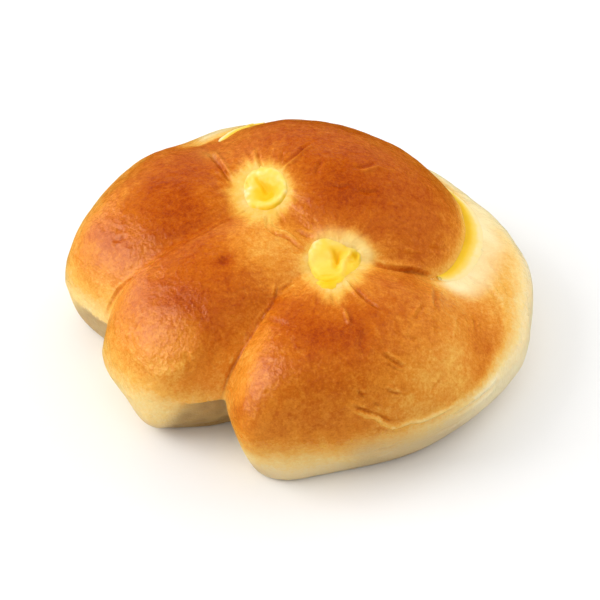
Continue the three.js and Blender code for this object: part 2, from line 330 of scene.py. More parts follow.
def settle(field, V, times=2, most=0.6):
    """Moves points onto the field's zero level."""
    for _ in range(times):
        f = field(V)
        g = gradient(field, V)
        g2 = np.maximum((g ** 2).sum(1), 0.04)
        step = -(f / g2)[:, None] * g
        n = np.linalg.norm(step, axis=1, keepdims=True)
        V = V + step * np.minimum(1, most / np.maximum(n, 1e-9))
    return V


def edges_of(T):
    e = np.sort(np.concatenate([T[:, [0, 1]], T[:, [1, 2]], T[:, [2, 0]]]), axis=1)
    n = int(T.max()) + 1
    key = e[:, 0].astype(np.int64) * n + e[:, 1]
    u, inv = np.unique(key, return_inverse=True)
    E = np.stack([u // n, u % n], 1)
    return E, inv.reshape(3, -1).T


def normals(V, T):
    fn = np.cross(V[T[:, 1]] - V[T[:, 0]], V[T[:, 2]] - V[T[:, 0]])
    N = np.zeros_like(V)
    for i in range(3):
        for a in range(3):
            N[:, a] += np.bincount(T[:, i], fn[:, a], len(V))
    return N / np.maximum(np.linalg.norm(N, axis=1, keepdims=True), 1e-12)


def relax(V, T, field, times=2, amount=0.5):
    """Evens out the points along the surface."""
    for _ in range(times):
        E, _i = edges_of(T)
        S = np.zeros_like(V)
        for a in range(3):
            S[:, a] = np.bincount(E[:, 0], V[E[:, 1], a], len(V)) + np.bincount(E[:, 1], V[E[:, 0], a], len(V))
        c = np.bincount(E[:, 0], minlength=len(V)) + np.bincount(E[:, 1], minlength=len(V))
        d = S / c[:, None] - V
        N = normals(V, T)
        d -= (d * N).sum(1, keepdims=True) * N
        V = V + amount * d
    return settle(field, V, 1)


def refine(V, T, field, size, times):
    """Splits the edges that are longer than the wanted size there, and settles the new points."""
    for _ in range(times):
        E, TE = edges_of(T)
        L = np.linalg.norm(V[E[:, 0]] - V[E[:, 1]], axis=1)
        want = size((V[E[:, 0]] + V[E[:, 1]]) / 2)
        mark = L > 1.38 * want
        if not mark.any():
            break
        TL = L[TE]
        longest = TE[np.arange(len(T)), TL.argmax(1)]
        for _j in range(30):
            m = mark[TE]
            need = m.any(1) & ~mark[longest]
            if not need.any():
                break
            mark[longest[need]] = True
        new = np.full(len(E), -1)
        new[mark] = len(V) + np.arange(mark.sum())
        V = np.concatenate([V, (V[E[mark, 0]] + V[E[mark, 1]]) / 2])
        fresh = np.arange(len(V) - mark.sum(), len(V))
        m = new[TE]
        c = (m >= 0).sum(1)
        out = [T[c == 0]]
        t, q = T[c == 3], m[c == 3]
        out += [np.stack(x, 1) for x in ((t[:, 0], q[:, 0], q[:, 2]), (q[:, 0], t[:, 1], q[:, 1]),
                                         (q[:, 2], q[:, 1], t[:, 2]), (q[:, 0], q[:, 1], q[:, 2]))]
        for k in range(3):
            # one split: edge k runs from corner k to corner k+1
            s = (c == 1) & (m[:, k] >= 0)
            t, q = T[s], m[s]
            a, b, d = t[:, k], t[:, (k + 1) % 3], t[:, (k + 2) % 3]
            out += [np.stack((a, q[:, k], d), 1), np.stack((q[:, k], b, d), 1)]
            # two splits: edge k is whole
            s = (c == 2) & (m[:, k] < 0)
            t, q = T[s], m[s]
            a, b, d = t[:, k], t[:, (k + 1) % 3], t[:, (k + 2) % 3]
            e1, e2 = q[:, (k + 1) % 3], q[:, (k + 2) % 3]
            out += [np.stack((e1, d, e2), 1), np.stack((a, b, e1), 1), np.stack((a, e1, e2), 1)]
        T = np.concatenate(out)
        V[fresh] = settle(field, V[fresh], 1)
    return V, T


# ------------------------------------------------------------------ noise
def noise3(P, scale, seed):
    """Smooth gradient noise between about -1 and 1; scale is the size of its lumps in mm."""
    r = np.random.RandomState(seed)
    perm = r.permutation(256)
    G = r.normal(size=(256, 3))
    G /= np.linalg.norm(G, axis=1, keepdims=True)
    q = P / scale
    i = np.floor(q).astype(int)
    f = q - i
    u = f * f * f * (f * (f * 6 - 15) + 10)
    out = np.zeros(len(P))
    for a in (0, 1):
        for b in (0, 1):
            for c in (0, 1):
                h = perm[(perm[(perm[(i[:, 0] + a) & 255] + i[:, 1] + b) & 255] + i[:, 2] + c) & 255]
                g = G[h]
                d = (g * (f - np.array([a, b, c]))).sum(1)
                w = (u[:, 0] if a else 1 - u[:, 0]) * (u[:, 1] if b else 1 - u[:, 1]) * (u[:, 2] if c else 1 - u[:, 2])
                out += w * d
    return out * 1.6


# ------------------------------------------------------------------ lines drawn on the surface
def P3(F):
    """A field that takes points instead of three coordinates."""
    return lambda P: F(P[:, 0], P[:, 1], P[:, 2])


def cast(pixels):
    """Where the photograph's pixels fall on the bun's outside."""
    px = np.asarray(pixels, float)
    d = FWD + (px[:, :1] - 300) / FOCAL * RIGHT - (px[:, 1:] - 300) / FOCAL * UP
    d /= np.linalg.norm(d, axis=1, keepdims=True)
    t = (50 - EYE[2]) / d[:, 2]
    F = P3(outer)
    for _ in range(160):
        f = F(EYE + d * t[:, None])
        t = t + np.clip(f * 0.6, -0.5, 3)
    P = EYE + d * t[:, None]
    low = P[:, 2] < 0
    if low.any():
        P[low] = EYE + d[low] * (((0.5 - EYE[2]) / d[low, 2])[:, None])
    return P


def along(P, line, far=12.0):
    """Distance to a 3-D line, and the share of the way along it."""
    line = np.asarray(line)
    near = np.ones(len(P), bool)
    lo, hi = line.min(0) - far, line.max(0) + far
    near = ((P > lo) & (P < hi)).all(1)
    D = np.full(len(P), 1e3)
    S = np.zeros(len(P))
    idx = np.where(near)[0]
    q = P[idx]
    best = np.full(len(q), 1e3)
    share = np.zeros(len(q))
    a, b = line[:-1], line[1:]
    L = np.linalg.norm(b - a, axis=1)
    cum = np.concatenate([[0], np.cumsum(L)])
    for i in range(len(a)):
        ab = b[i] - a[i]
        t = np.clip(((q - a[i]) @ ab) / max(L[i] ** 2, 1e-9), 0, 1)
        d = np.linalg.norm(q - a[i] - t[:, None] * ab, axis=1)
        m = d < best
        best[m] = d[m]
        share[m] = (cum[i] + t[m] * L[i]) / cum[-1]
    D[idx] = best
    S[idx] = share
    return D, S


# ------------------------------------------------------------------ the dough
# the groove under the back lobe's lip, where the bead of custard lies
GROOVE_R = np.maximum(table(MOUTH_AZ, BEAD) + 0.35, 0.0)
_out = MOUTH[:, :2] - (SLAB['x'], SLAB['y'])
MOUTH_R = np.linalg.norm(_out, axis=1)
GROOVE = MOUTH + np.concatenate([_out / MOUTH_R[:, None] * 0.55, np.full((len(MOUTH), 1), -0.45)], 1) * GROOVE_R[:, None]


COVER_R = np.max([np.r_[GROOVE_R[1:], 0], GROOVE_R, np.r_[0, GROOVE_R[:-1]]], 0)   # a little wider, so the custard laps over its ends


def out_of_mouth(P):
    """How far outside the mouth's line a point lies in plan, in mm."""
    az = azimuth(P[:, 0], P[:, 1], SLAB['x'], SLAB['y'])
    return np.hypot(P[:, 0] - SLAB['x'], P[:, 1] - SLAB['y']) - np.interp(az, MOUTH_AZ, MOUTH_R)


def across_mouth(P):
    """0 at the mouth's line, 1 at the outer edge of the groove."""
    az = azimuth(P[:, 0], P[:, 1], SLAB['x'], SLAB['y'])
    return out_of_mouth(P) / (1.44 * np.maximum(np.interp(az, MOUTH_AZ, COVER_R), 0.4))


# height of the custard over the rim, in mm, by the place across the mouth
BEAD_LIFT = [(-1.0, 0.10), (-0.1, 0.20), (0.1, 0.34), (0.3, 0.48), (0.55, 0.46), (0.8, 0.30), (1.0, 0.16), (1.2, 0.06), (1.32, 0.0), (1.6, -0.45), (2.3, -2.0)]


def cavity(P, o):
    """The pocket for the filling, below 0 inside."""
    c = slab_field(P, o, 0.3)
    c = np.minimum(c, column(P, PLUG_BACK, 60, 3.7, 3.7, 0.3))
    return np.minimum(c, column(P, PLUG_FRONT, 60, 4.6, 5.6, 0.3))


def dough(P):
    """The dough, below 0 inside: the groove is cut in the layer under the back lobe, so that its lip stays whole."""
    x, y, z = P.T
    f, low = parts(x, y, z)
    under = smin(low, f['left'], 4.0)
    plain = under.copy()
    near = np.where(np.abs(under) < 14)[0]
    under[near] = smax(under[near], -tube(P[near], GROOVE, GROOVE_R), 0.3)
    k = table(azimuth(x, y, 5.2, 19.2), JOIN)
    whole, out = (smax(smin(smin(g, f['middle'], 1.3), f['back'], k), -z, 1.2) for g in (plain, under))
    inside = np.where(whole < 1.5)[0]
    out[inside] = np.maximum(out[inside], -cavity(P[inside], whole[inside]))
    return out


# ------------------------------------------------------------------ pleats and creases
# Lines are named by where they lie in the photograph and are cast onto the bun, so that each
# is a real line in space.  width and height in mm; a negative height is a groove.
LINES = [
    # the two cuts, right down in their valleys
    ([(106, 322), (110, 306), (119, 290), (130, 280), (147, 269), (161, 258), (176, 248), (191, 240), (206, 233), (217, 226), (228, 221), (238, 216), (246, 211)], 0.42, -0.60),
    ([(222, 398), (224, 388), (230, 372), (238, 358), (247, 343), (255, 329), (262, 317), (269, 308), (273, 302)], 0.42, -0.55),
    ([(277, 284), (276, 291), (275, 299), (271, 307), (264, 315)], 0.34, -0.36),
    ([(275, 283), (273, 290), (271, 297)], 0.42, 0.35),
    # round the back custard
    ([(258, 152), (259, 158), (260, 164), (262, 169)], 0.40, -0.45),
    ([(254, 149), (255, 156), (256, 163), (258, 169)], 0.45, 0.42),
    ([(312, 142), (303, 147), (297, 154), (289, 159), (283, 164), (279, 170)], 0.42, -0.42),
    ([(315, 144), (305, 150), (299, 156), (291, 162), (285, 167), (281, 172)], 0.45, 0.45),
    ([(283, 151), (282, 158), (280, 165)], 0.38, -0.28),
    ([(271, 138), (267, 150)], 0.60, -0.25),
    ([(209, 152), (214, 158), (220, 166), (225, 174), (231, 182), (234, 185)], 0.55, -0.75),
    ([(212, 150), (219, 157), (226, 166), (230, 173), (235, 180)], 0.55, 0.42),
    ([(216, 182), (222, 186), (229, 190)], 0.60, 0.30),
    ([(267, 214), (267, 222), (268, 230)], 0.38, -0.40),
    ([(277, 211), (281, 218), (284, 223)], 0.60, -0.30),
    ([(262, 214), (261, 222)], 0.70, 0.25),
    ([(290, 190), (298, 189)], 0.60, 0.22),
    ([(288, 198), (295, 203)], 0.60, 0.20),
    ([(246, 146), (250, 156)], 0.60, -0.25),
    ([(236, 160), (242, 168)], 0.70, -0.25),
    # the crease between the two custards
    ([(268, 229), (277, 234), (284, 236), (292, 240), (299, 246), (307, 251)], 0.48, -0.78),
    ([(270, 226), (279, 230), (287, 233), (297, 240)], 0.48, 0.40),
    ([(294, 229), (303, 234), (312, 238)], 0.40, -0.42),
    ([(297, 227), (306, 231), (314, 234)], 0.50, 0.30),
    ([(285, 246), (293, 250), (301, 254)], 0.60, -0.28),
    # the deep crease to the mouth's corner
    ([(371, 261), (378, 265), (386, 268), (398, 270), (412, 271), (425, 274), (438, 280)], 0.55, -0.95),
    ([(372, 257), (384, 262), (396, 264), (408, 265), (420, 268)], 0.90, 0.30),
    # below the front custard
    ([(347, 277), (353, 285), (360, 294), (368, 302), (378, 309), (386, 313)], 0.50, -0.52),
    ([(344, 280), (350, 288), (357, 298), (364, 306)], 0.45, 0.34),
    ([(342, 308), (346, 316), (349, 326)], 0.45, 0.50),
    ([(346, 306), (350, 315), (353, 325)], 0.42, -0.34),
    ([(332, 293), (333, 299), (335, 306)], 0.38, -0.30),
    ([(318, 290), (317, 298), (316, 306)], 0.40, -0.26),
    ([(326, 292), (325, 300)], 0.60, 0.30),
    ([(294, 280), (287, 286), (279, 292)], 0.38, -0.36),
    ([(297, 283), (289, 289), (282, 295)], 0.50, 0.30),
    ([(262, 318), (270, 320), (280, 323), (291, 327)], 0.80, -0.25),
    ([(305, 281), (300, 290), (294, 297)], 0.70, -0.25),
    # crumpled skin on the right finger
    ([(382, 353), (390, 359), (398, 364), (408, 369)], 0.42, -0.42),
    ([(384, 350), (392, 356), (401, 361)], 0.42, 0.34),
    ([(386, 363), (394, 368), (400, 372)], 0.38, -0.22),
    ([(386, 389), (393, 393), (402, 394)], 0.42, -0.42),
    ([(386, 386), (394, 390), (403, 391)], 0.42, 0.32),
    ([(358, 391), (363, 396), (367, 398)], 0.46, -0.42),
    ([(374, 403), (381, 407)], 0.42, -0.32),
    ([(361, 388), (366, 392)], 0.42, 0.25),
    ([(443, 377), (438, 384), (431, 391)], 0.40, -0.26),
    ([(437, 284), (435, 292), (435, 301), (438, 313)], 0.70, -0.42),
    ([(432, 288), (430, 297), (431, 308)], 0.80, 0.25),
    ([(424, 304), (419, 313), (415, 321)], 0.45, -0.25),
    ([(421, 303), (414, 312), (409, 321)], 0.45, 0.25),
    ([(436, 326), (437, 333)], 0.60, -0.30),
    ([(410, 338), (417, 341)], 0.60, -0.30),
    ([(456, 318), (455, 327), (452, 336)], 0.60, 0.22),
    ([(473, 312), (475, 322), (477, 333)], 0.50, -0.30),
    ([(465, 318), (466, 328)], 0.60, 0.20),
    ([(474, 264), (478, 257), (481, 252), (488, 252)], 0.50, -0.36),
    ([(466, 276), (474, 281), (484, 288)], 0.50, -0.30),
    ([(481, 281), (490, 290), (498, 302), (504, 318)], 0.60, -0.30),
    ([(484, 279), (493, 288), (501, 300), (507, 316)], 0.70, 0.25),
    ([(486, 258), (498, 272), (507, 288), (512, 306)], 0.60, -0.22),
    ([(492, 300), (498, 313), (501, 330)], 0.60, -0.22),
    ([(365, 330), (362, 345), (364, 357)], 1.00, -0.30),
    ([(372, 322), (377, 334), (384, 344)], 0.90, 0.28),
    ([(395, 330), (399, 342), (402, 350)], 0.80, -0.28),
    ([(404, 326), (409, 336)], 0.80, 0.25),
    # the skirt: a wavy fold above the pale side of the right finger
    ([(343, 404), (350, 407), (358, 412), (366, 416), (375, 417), (383, 423), (392, 427), (401, 425), (410, 421), (421, 420), (433, 415), (446, 409), (458, 403)], 0.60, 0.75),
    ([(350, 405), (360, 409), (371, 413), (380, 416), (389, 421), (399, 420)], 0.45, -0.40),
    ([(370, 430), (382, 429), (394, 432), (405, 429)], 0.45, -0.28),
    ([(349, 402), (358, 405), (367, 408)], 0.60, 0.35),
    # crinkles on the pale side
    ([(335, 459), (343, 457), (351, 461), (359, 462)], 0.42, -0.28),
    ([(372, 452), (382, 449), (392, 447), (402, 441)], 0.45, -0.28),
    ([(377, 457), (388, 453), (398, 449)], 0.50, 0.25),
    ([(425, 440), (441, 432), (456, 424), (470, 413)], 0.60, -0.30),
    ([(450, 418), (466, 408), (482, 396), (496, 384)], 0.60, -0.35),
    ([(470, 400), (485, 389), (500, 374)], 0.60, 0.25),
    # the back lobe
    ([(355, 172), (365, 171), (378, 167), (388, 170), (398, 171)], 0.55, 0.42),
    ([(352, 168), (364, 167), (376, 163)], 0.60, -0.34),
    ([(322, 160), (318, 168), (316, 176)], 0.60, -0.30),
    ([(330, 184), (340, 187), (352, 184)], 0.55, -0.32),
    ([(356, 190), (368, 193), (380, 190)], 0.55, -0.30),
    ([(390, 203), (402, 206)], 0.55, 0.28),
    ([(384, 184), (396, 182)], 0.55, 0.28),
    ([(413, 207), (420, 204)], 0.70, 0.18),
    ([(428, 247), (440, 250), (449, 247)], 0.55, -0.26),
    ([(403, 247), (413, 251), (424, 252)], 0.50, 0.28),
    # the left and middle fingers
    ([(113, 241), (121, 239), (128, 236)], 0.60, -0.28),
    ([(110, 244), (117, 243)], 0.50, 0.28),
    ([(116, 230), (124, 229)], 0.60, -0.25),
    ([(160, 205), (166, 211), (175, 214)], 0.90, -0.25),
    ([(212, 257), (218, 256)], 0.60, 0.30),
    ([(128, 334), (136, 325), (146, 316)], 0.80, -0.35),
    ([(126, 338), (133, 329)], 0.60, 0.30),
    ([(198, 303), (202, 312), (203, 325)], 0.90, -0.14),
    ([(186, 353), (190, 362), (188, 372)], 0.80, -0.35),
    ([(190, 350), (194, 360)], 0.60, 0.30),
    ([(225, 384), (232, 391)], 0.50, -0.30),
]


def drape(lines):
    """Casts a list of lines onto the bun, all at once."""
    n = [len(l[0]) for l in lines]
    P = cast([p for l in lines for p in l[0]])
    out, k = [], 0
    for l, m in zip(lines, n):
        out.append((P[k:k + m],) + tuple(l[1:]))
        k += m
    return out


CREASES = drape(LINES)
HOLES = cast([(266, 189), (333, 262)])
note('cast', HOLES.round(1).tolist())


class Near:
    """Whether a point lies within about a millimetre of some lines."""

    def __init__(self, lines, cell=1.0):
        pts = []
        for l in lines:
            P = l[0]
            for a, b in zip(P[:-1], P[1:]):
                k = max(int(np.linalg.norm(b - a) / 0.4), 1)
                pts.append(a + (b - a) * (np.arange(k + 1) / k)[:, None])
        pts = np.concatenate(pts)
        self.cell = cell
        self.lo = pts.min(0) - 3 * cell
        n = np.ceil((pts.max(0) + 3 * cell - self.lo) / cell).astype(int)
        self.grid = np.zeros(n, bool)
        for dx in (-0.9, 0, 0.9):
            for dy in (-0.9, 0, 0.9):
                for dz in (-0.9, 0, 0.9):
                    i = ((pts + (dx, dy, dz) - self.lo) / cell).astype(int)
                    self.grid[i[:, 0], i[:, 1], i[:, 2]] = True

    def __call__(self, P):
        i = ((P - self.lo) / self.cell).astype(int)
        ok = ((i >= 0) & (i < self.grid.shape)).all(1)
        out = np.zeros(len(P), bool)
        j = i[ok]
        out[ok] = self.grid[j[:, 0], j[:, 1], j[:, 2]]
        return out


near_crease = Near(CREASES)


def around(P, H):
    """Distance (mm) and direction (degrees) from a hole, square to the front view, and the depth off it."""
    d = P - H
    u, v = d @ RIGHT, d @ UP
    return np.hypot(u, v), np.degrees(np.arctan2(v, u)), d @ FWD


# the custard that shows in the two holes: its reach in mm by direction, seen from the front
PX = 0.2571                                        # mm for each pixel of the front view
HEAD = ([(a, r * PX) for a, r in ((-180, 20), (-135, 22.5), (-90, 24.5), (-45, 23), (0, 21.5), (45, 22), (90, 24), (135, 22.5), (180, 20))],
        [(a, r * PX) for a, r in ((-180, 24), (-160, 23.5), (-140, 25), (-120, 28.5), (-100, 30), (-85, 28), (-70, 23),
                                  (-50, 19.5), (-30, 21), (-15, 25.5), (0, 29.5), (15, 30.5), (30, 27.5), (45, 22.5), (60, 21.5), (90, 23),
                                  (110, 27.5), (120, 27.5), (140, 26.5), (160, 25), (180, 23.5))])


def share(P, i):
    """0 in the middle of a hole's custard, 1 at its edge."""
    r, a, deep = around(P, HOLES[i])
    return r / table(a, HEAD[i]), deep


def swell(P):
    """Uneven puffing of the dough, in mm, calm round the two holes."""
    d = np.minimum(np.linalg.norm(P - HOLES[0], axis=1), np.linalg.norm(P - HOLES[1], axis=1))
    calm = smooth((d - 3) / 9)
    top = smooth((P[:, 2] - 2) / 6)
    return (0.42 * noise3(P, 15, 11) + 0.20 * noise3(P, 7, 12)) * top * calm + 0.07 * noise3(P, 2.6, 13) * top


def carve(P, lines):
    """How far each point moves along its normal for a list of creases and folds."""
    H = np.zeros(len(P))
    soft = noise3(P, 2.2, 3) * 0.35 + 1
    for line, width, height in lines:
        far = width * 3.4
        D, S = along(P, line, far)
        idx = np.where(D < far)[0]
        d, s = D[idx] / width, S[idx]
        ends = smooth(np.minimum(s, 1 - s) / 0.22) * 0.85 + 0.15 * (np.minimum(s, 1 - s) > 0)
        if height < 0:
            shape = -np.exp(-d ** 2) + 0.30 * np.exp(-((d - 1.9) / 0.8) ** 2)
        else:
            shape = np.exp(-d ** 2)
        H[idx] += abs(height) * shape * ends * soft[idx]
    return H


def spot(P, at, rx, ry, turn=0.0):
    """1 at a place that the front view shows at a pixel, falling to 0 at its reach in mm."""
    H, = cast([at])
    d = P - H
    u, v = d @ RIGHT, d @ UP
    c, s = math.cos(math.radians(turn)), math.sin(math.radians(turn))
    a, b = (u * c + v * s) / rx, (-u * s + v * c) / ry
    return smooth(1.5 - np.hypot(a, b)) * (np.abs(d @ FWD) < 16)


# ------------------------------------------------------------------ the dough's mesh
V, T = contour(dough, (-64, -58, -2.6), (64, 64, 46), 1.5)
note('contour', len(V), len(T))
V = settle(dough, V, 2)
V = relax(V, T, dough, 2)


def wanted(M):
    """Edge length wanted at a place, in mm: fine at the folds that the photograph shows."""
    f = outer(M[:, 0], M[:, 1], M[:, 2])
    s = 1.50 - 0.42 * smooth((M[:, 2] - 5) / 8)
    d = np.minimum(np.linalg.norm(M - HOLES[0], axis=1), np.linalg.norm(M - HOLES[1], axis=1))
    s = np.minimum(s, 0.38 + 0.50 * smooth((d - 8) / 10))
    dm = np.abs(tube(M, MOUTH, np.zeros(len(MOUTH))))
    s = np.minimum(s, 0.5 + 0.4 * smooth((dm - 4) / 4))
    s = np.where(near_crease(M), np.minimum(s, 0.38), s)
    s = np.where((M[:, 2] < 0.7), 2.0, s)                    # the flat base
    s = np.where(f < -1.8, 1.8, s)                           # the pocket inside
    return s


V, T = refine(V, T, dough, wanted, 4)
note('refined', len(V), len(T))
V = relax(V, T, dough, 2)
note('relaxed')
N0 = normals(V, T)
V0 = V.copy()

top = smooth((V[:, 2] - 2) / 6)
inside = outer(V[:, 0], V[:, 1], V[:, 2]) < -1.2
H = carve(V, CREASES) + swell(V)
# the dark dimple on the middle finger
SPOT, = cast([(225, 260)])
H -= 0.55 * np.exp(-(np.linalg.norm(V - SPOT, axis=1) / 1.7) ** 2)
# the dough dips under the custard's edge, and stands up in a ridge above the front custard
for i, dip in ((0, 0.34), (1, 0.42)):
    t, deep = share(V, i)
    left = smooth((HOLES[0] - V) @ RIGHT / 4.0) if i == 0 else 0.0
    H -= dip * (1 - 0.60 * left) * (1 - smooth((t - 0.72) / 0.36)) * (np.abs(deep) < 9)
RIDGE = cast([(319, 235), (330, 232), (341, 235), (352, 239), (361, 245), (367, 255)])
D, S = along(V, RIDGE, 6)
H += 0.28 * np.exp(-(D / 1.9) ** 2)
# the wall between the middle and the right finger lies under an overhang: it is pushed in here, and the same mask
# darkens its colour below as painted shade
X, Y = to_pixel(V)
fV, lowV = parts(*V.T)
mid = (fV['middle'] < fV['right']) & (V[:, 2] < 16) & (X > 150) & (X < 240)
flank_painted_shade = smooth((Y - 397 + 0.257 * (X - 188)) / 11) * smooth((X - 172 + 0.684 * (Y - 401)) / 30) * mid * (1 + 0.25 * noise3(V, 4, 63))
H -= 0.8 * flank_painted_shade * smooth(V[:, 2] / 1.5)
# the left finger's low front side, away from the key light: painted shade in the wall and flank colours below
lee_painted_shade = smooth((Y - 297) / 20) * (fV['left'] < fV['middle']) * (V[:, 2] < 14) * (X < 112) * (V[:, 1] < 10)
# the blister on the middle finger's tip
P0, = cast([(163, 339)])
n0 = gradient(lambda q: outer(*q.T), P0[None], 1.0)[0]
n0 /= np.linalg.norm(n0)
d = V - P0
up = d @ n0
rho = np.linalg.norm(d - up[:, None] * n0, axis=1) * (1 + 0.07 * noise3(V, 6, 61) + 0.03 * noise3(V, 2.2, 62))
H += np.clip(0.15 - rho ** 2 / 46 - up, -0.2, 1.5) * 0.74 * smooth((11.2 - rho) / 3.2) * (np.abs(up) < 6)
blister = smooth((11.5 - rho) / 4.5) * (np.abs(up) < 6)
moat = np.exp(-((rho - 11.6) / 2.2) ** 2) * (np.abs(up) < 7) * smooth((V @ RIGHT + 36) / 8)
# fine pleats run out from each hole
for i in (0, 1):
    rr, a, deep = around(V, HOLES[i])
    ca, sa = np.cos(np.radians(a)), np.sin(np.radians(a))
    ray = noise3(np.stack([ca * 4.6, sa * 4.6, rr * 0.10], 1), 1.0, 51 + i)
    H += 0.17 * ray * smooth((rr - 5.5) / 2.5) * (1 - smooth((rr - 9) / 13)) * (np.abs(deep) < 14)
H[inside] = 0
V = V + H[:, None] * N0
V[:, 2] = np.maximum(V[:, 2], 0)
note('carved')


# ------------------------------------------------------------------ how the dough is baked
# how well done each lobe is by height (mm): 0 is raw-looking, 1 the darkest brown
DONE = dict(
    left=[(0, .02), (5, .10), (11, .12), (16, .16), (20, .25), (24, .40), (29, .60), (33, .74), (38, .83)],
    middle=[(0, .03), (4, .09), (8, .14), (12, .21), (17, .34), (22, .52), (27, .69), (32, .80), (37, .83), (44, .84)],
    right=[(0, .03), (5, .09), (9, .17), (13, .34), (17, .54), (21, .68), (25, .75), (33, .78), (42, .80)],
    rightRim=[(0, .00), (9, .00), (13, .01), (17, .07), (18.5, .12), (20.5, .33), (23, .39), (26, .43)],
    rearRim=[(0, .00), (10, .00), (15, .08), (20, .20), (26, .34)],
    back=[(12, .16), (18, .30), (23, .52), (27, .68), (32, .76), (37, .83), (43, .88)],
    backRim=[(0, .00), (14, .04), (20, .12), (26, .30), (32, .55)],
)
# reach of the pale dough round each hole, in mm, by direction seen from the front
HALO = ([(-180, 9.4), (-135, 9.4), (-90, 8.6), (-45, 7.2), (0, 6.7), (45, 6.6), (90, 7.2), (135, 8.5), (180, 9.4)],
        [(-180, 7.4), (-135, 7.6), (-90, 9.6), (-55, 7.6), (-20, 8.2), (0, 9.9), (18, 11.0), (35, 9.6), (70, 7.6), (110, 7.2), (150, 6.9), (180, 7.4)])


def baking(P, N):
    """How well done the dough is, and how much custard-coloured halo it has."""
    f, low = parts(*P.T)
    names = list(DONE)
    F = np.stack([f[k] for k in names], 1)
    W = np.exp(-(F - F.min(1, keepdims=True)) / 1.6)
    W /= W.sum(1, keepdims=True)
    B = np.stack([table(P[:, 2], DONE[k]) for k in names], 1)
    x, y, z = P.T
    # the right finger pales towards the mouth's side, and less so at its front
    r, m, b = names.index('right'), names.index('rightRim'), names.index('back')
    B[:, r] *= 1 - 0.44 * smooth((x - 16 - 0.34 * (y + 20)) / 34)
    B[:, m] += 0.34 * smooth((-y - 4) / 22) * smooth((z - 15.5) / 5.5) - 0.04
    # and is palest where it lay against the custard of the mouth
    dm = np.abs(tube(P, MOUTH, np.zeros(len(MOUTH))))
    steam = np.exp(-(dm / 5.4) ** 2)
    B[:, r] *= 1 - 0.75 * steam * smooth((x - 30) / 8)
    B[:, m] *= 1 - 0.8 * steam
    B[:, names.index('rearRim')] *= 1 - 0.85 * np.exp(-(dm / 9) ** 2)
    # and along the upper edge beside the mouth's left end
    az = azimuth(x, y, SLAB['x'], SLAB['y'])
    span = smooth((az - 92) / 14) * smooth((150 - az) / 10)
    X, Y = to_pixel(P)
    edge = table(X, [(183, 149), (200, 146), (210, 141.5), (222, 136.5), (232, 132.5), (245, 128.5), (262, 124)])
    above = np.where(((EYE - P) * N).sum(1) > 0, smooth((edge + 1.2 - Y) / 3.0), 1.0)
    beside = np.exp(-(dm / 9.5) ** 2) * span * above
    B[:, names.index('backRim')] += 0.16 * span * (1 - above)
    B[:, names.index('backRim')] *= 1 - 0.95 * beside
    B[:, names.index('left')] *= 1 - 0.85 * beside
    B[:, b] += 0.04 * smooth((x - 24) / 18)
    B[:, names.index('left')] -= 0.09 * smooth((-x - 37) / 8) * smooth((y - 6) / 8)
    B[:, names.index('left')] += 0.09 * smooth((z - 24) / 8) * smooth((x + 44) / 14)
    bake = (B * W).sum(1)
    bake *= 1 - (0.36 - 0.18 * W[:, r] - 0.22 * W[:, b] * smooth((x - 18) / 12)) * (1 - np.clip(N[:, 2], 0, 1)) * smooth((z - 18) / 10)
    # the pale bridge between the front hole and the second cut, and along the first cut
    bake *= 1 - 0.26 * spot(P, (283, 262), 10.0, 8.0, 0)
    bake *= 1 - 0.22 * spot(P, (258, 240), 9.0, 5.5, 20)
    # a paler patch on the right finger's left side, partly a painted highlight
    bake *= 1 - 0.27 * spot(P, (240, 362), 4.2, 12.0, -24) * W[:, r]
    bake += 0.07 * spot(P, (165, 300), 9.0, 4.5, 0) * W[:, names.index('middle')]
    bake -= 0.08 * spot(P, (150, 395), 9.0, 4.5, -25) * W[:, names.index('middle')]
    bake += 0.13 * spot(P, (330, 322), 10.0, 7.0, 0) * W[:, r]
    bake += 0.05 * spot(P, (496, 312), 12.0, 17.0, 0)
    bake += 0.05 * spot(P, (368, 200), 14.0, 9.0, 0) * W[:, b]
    bake += 0.15 * spot(P, (99, 259), 9.0, 9.0, 0) * W[:, names.index('left')]
    bake += 0.07 * spot(P, (400, 244), 12.0, 4.0, -10) * W[:, b]
    bake = np.clip(bake, 0, 1)
    tint = (0.55 * np.exp(-(dm / 2.8) ** 2) + 0.75 * np.exp(-(dm / 4.5) ** 2) * span) * (1 - W[:, b]) * (1 - span * (1 - above))
    for i in (0, 1):
        rr, a, deep = around(P, HOLES[i])
        R = table(a, HALO[i])
        ca, sa = np.cos(np.radians(a)), np.sin(np.radians(a))
        ray = noise3(np.stack([ca * 4.2, sa * 4.2, rr * 0.10], 1), 1.0, 21 + i)
        ray2 = noise3(np.stack([ca * 9, sa * 9, rr * 0.16], 1), 1.0, 31 + i)
        t = rr / (R * (1 + 0.09 * ray + 0.06 * ray2))
        near = smooth((26 - np.abs(deep)) / 8)
        h = (1 - smooth((t - 0.55) / 0.72)) * near
        wide = (1 - smooth((t - 0.8) / 1.5)) * near
        bake = bake * (1 - 0.22 * wide) * (1 - 0.86 * h)
        tint = np.maximum(tint, h)
    return bake, tint


bake, tint = baking(V0, N0)
# the dimple is darker; the floors of the creases are darkened as painted shade, and the folds are paler, partly because
# they catch less heat and partly as a painted highlight on their lit ridges
bake += 0.22 * np.exp(-(np.linalg.norm(V0 - SPOT, axis=1) / 1.9) ** 2)
crease_painted_shade = np.clip(-carve(V0, [c for c in CREASES if c[2] < 0]) / 0.6, 0, 1)
fold_pale_and_painted_highlight = np.clip(carve(V0, [c for c in CREASES if c[2] > 0]) / 0.6, 0, 1)
# directions that streaks run in, away from each hole
FLOW = []
for i in (0, 1):
    rr, a, deep = around(V0, HOLES[i])
    ca, sa = np.cos(np.radians(a)), np.sin(np.radians(a))
    FLOW.append(np.stack([ca * 4.0, sa * 4.0, rr * 0.13 + np.abs(deep) * 0.05], 1))
d0, d1 = (np.linalg.norm(V0 - h, axis=1) for h in HOLES)
lean = smooth(0.5 + (d0 - d1) / 16)
